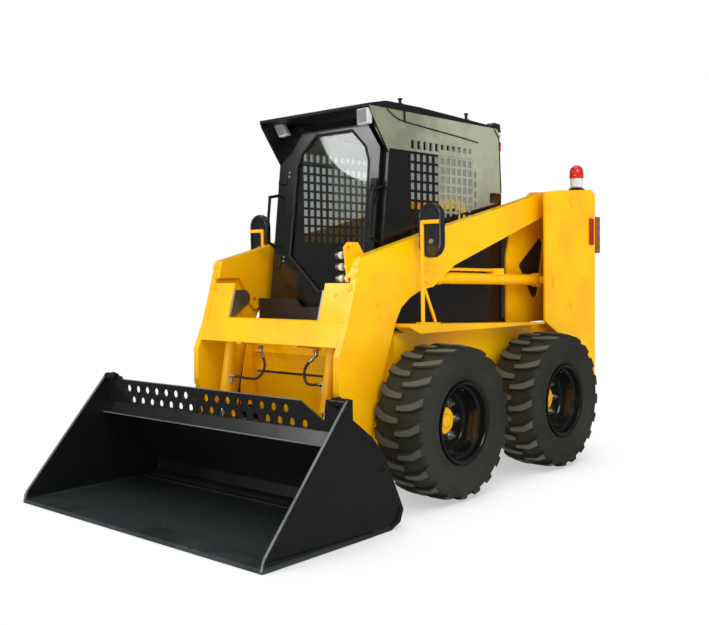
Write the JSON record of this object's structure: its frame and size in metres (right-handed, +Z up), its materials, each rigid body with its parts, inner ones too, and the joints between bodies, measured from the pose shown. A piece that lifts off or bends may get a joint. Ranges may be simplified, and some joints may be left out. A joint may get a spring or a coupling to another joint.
{
  "type": "compact skid-steer loader",
  "caption": "Compact wheeled skid-steer loader with guarded cab, radial lift arms, pinned bucket, lift and tilt cylinders and lugged tyres.",
  "frame": {"origin": "on the ground, under the middle of the machine's box", "axes": "+Z up, -Y to the front with the bucket, +X to the machine's left"},
  "size_m": [1.886, 3.48, 2.1402],
  "materials": {
    "yellow_paint": "gloss",
    "black_paint": "gloss",
    "cab_grey": "gloss",
    "engine_iron": "satin",
    "clear_glass": "clear",
    "seat_vinyl": "satin",
    "black_plastic": "satin",
    "lamp_lens": "clear",
    "beacon_red": "gloss",
    "tail_red": "gloss",
    "steel": "satin",
    "chrome_rod": "polished",
    "hose_rubber": "satin",
    "tyre_rubber": "matte"
  },
  "bodies": {
    "chassis": {"main_frame": "yellow_paint", "side_decks": "yellow_paint", "towers": "yellow_paint", "rear_bumper": "yellow_paint", "engine_block": "engine_iron", "engine_hood": "yellow_paint", "axle_tubes": "black_paint", "cab_frame": "black_paint", "cab_roof": "black_paint", "cab_side_panels": "cab_grey", "cab_side_grilles": "black_paint", "rear_window": "clear_glass", "cab_floor": "black_paint", "seat": "seat_vinyl", "controls": "black_plastic", "work_lights": "lamp_lens", "beacon": "beacon_red", "tail_lamps": "tail_red", "mirrors": "black_plastic", "mirror_stands": "yellow_paint"},
    "cab_door": {"door_frame": "black_paint", "door_glass": "clear_glass"},
    "engine_door": {"rear_door": "yellow_paint"},
    "lift_arms": {"arm_left": "yellow_paint", "arm_right": "yellow_paint", "cross_member": "yellow_paint", "arm_pins": "steel", "couplers": "steel", "front_hoses": "hose_rubber"},
    "bucket": {"bucket_shell": "black_paint", "spill_guard": "black_paint", "cutting_edge": "black_paint", "quick_attach": "black_paint"},
    "lift_barrels": {"lift_barrels": "yellow_paint"},
    "lift_rods": {"lift_rods": "chrome_rod"},
    "tilt_barrels": {"tilt_barrels": "yellow_paint"},
    "tilt_rods": {"tilt_rods": "chrome_rod"},
    "wheel_fl": {"tyre_fl": "tyre_rubber", "rim_fl": "black_paint"},
    "wheel_fr": {"tyre_fr": "tyre_rubber", "rim_fr": "black_paint"},
    "wheel_rl": {"tyre_rl": "tyre_rubber", "rim_rl": "black_paint"},
    "wheel_rr": {"tyre_rr": "tyre_rubber", "rim_rr": "black_paint"}
  },
  "joints": [
    {"name": "wheel_fl_spin", "type": "hinge", "parent": "chassis", "child": "wheel_fl", "pos_m": [0.746, -0.237, 0.412], "axis": [1, 0, 0], "continuous": true},
    {"name": "wheel_fr_spin", "type": "hinge", "parent": "chassis", "child": "wheel_fr", "pos_m": [-0.746, -0.237, 0.412], "axis": [1, 0, 0], "continuous": true},
    {"name": "wheel_rl_spin", "type": "hinge", "parent": "chassis", "child": "wheel_rl", "pos_m": [0.746, 0.817, 0.412], "axis": [1, 0, 0], "continuous": true},
    {"name": "wheel_rr_spin", "type": "hinge", "parent": "chassis", "child": "wheel_rr", "pos_m": [-0.746, 0.817, 0.412], "axis": [1, 0, 0], "continuous": true},
    {"name": "lift", "type": "hinge", "parent": "chassis", "child": "lift_arms", "pos_m": [0, 1.33, 1.655], "axis": [-1, 0, 0], "range_deg": [0, 64]},
    {"name": "bucket_tilt", "type": "hinge", "parent": "lift_arms", "child": "bucket", "pos_m": [0, -0.745, 0.215], "axis": [1, 0, 0], "range_deg": [-28, 96]},
    {"name": "lift_barrel_swing", "type": "hinge", "parent": "chassis", "child": "lift_barrels", "pos_m": [0, 1.105, 1.144], "axis": [-1, 0, 0], "range_deg": [0, 61.3]},
    {"name": "lift_rod_slide", "type": "slide", "parent": "lift_barrels", "child": "lift_rods", "axis": [0, -0.9996, 0.0273], "range_m": [0, 0.5889]},
    {"name": "tilt_barrel_swing", "type": "hinge", "parent": "lift_arms", "child": "tilt_barrels", "pos_m": [0, -0.68, 1.07], "axis": [1, 0, 0], "range_deg": [-4, 1.3]},
    {"name": "tilt_rod_slide", "type": "slide", "parent": "tilt_barrels", "child": "tilt_rods", "axis": [0, -0.1883, -0.9821], "range_m": [-0.0664, 0.2205]},
    {"name": "cab_door_swing", "type": "hinge", "parent": "chassis", "child": "cab_door", "pos_m": [-0.348, -0.3502, 1.5208], "axis": [0, -0.1219, -0.9925], "range_deg": [0, 80]},
    {"name": "engine_door_swing", "type": "hinge", "parent": "chassis", "child": "engine_door", "pos_m": [-0.434, 1.708, 0.85], "axis": [0, 0, 1], "range_deg": [0, 100]}
  ],
  "couplings": [
    {"joint": "lift_barrel_swing", "follows": "lift", "ratio": 0.95074},
    {"joint": "lift_rod_slide", "follows": "lift", "m_per_rad": 0.52452},
    {"joint": "tilt_barrel_swing", "follows": "bucket_tilt", "ratio": -0.04},
    {"joint": "tilt_rod_slide", "follows": "bucket_tilt", "m_per_rad": 0.1298}
  ]
}
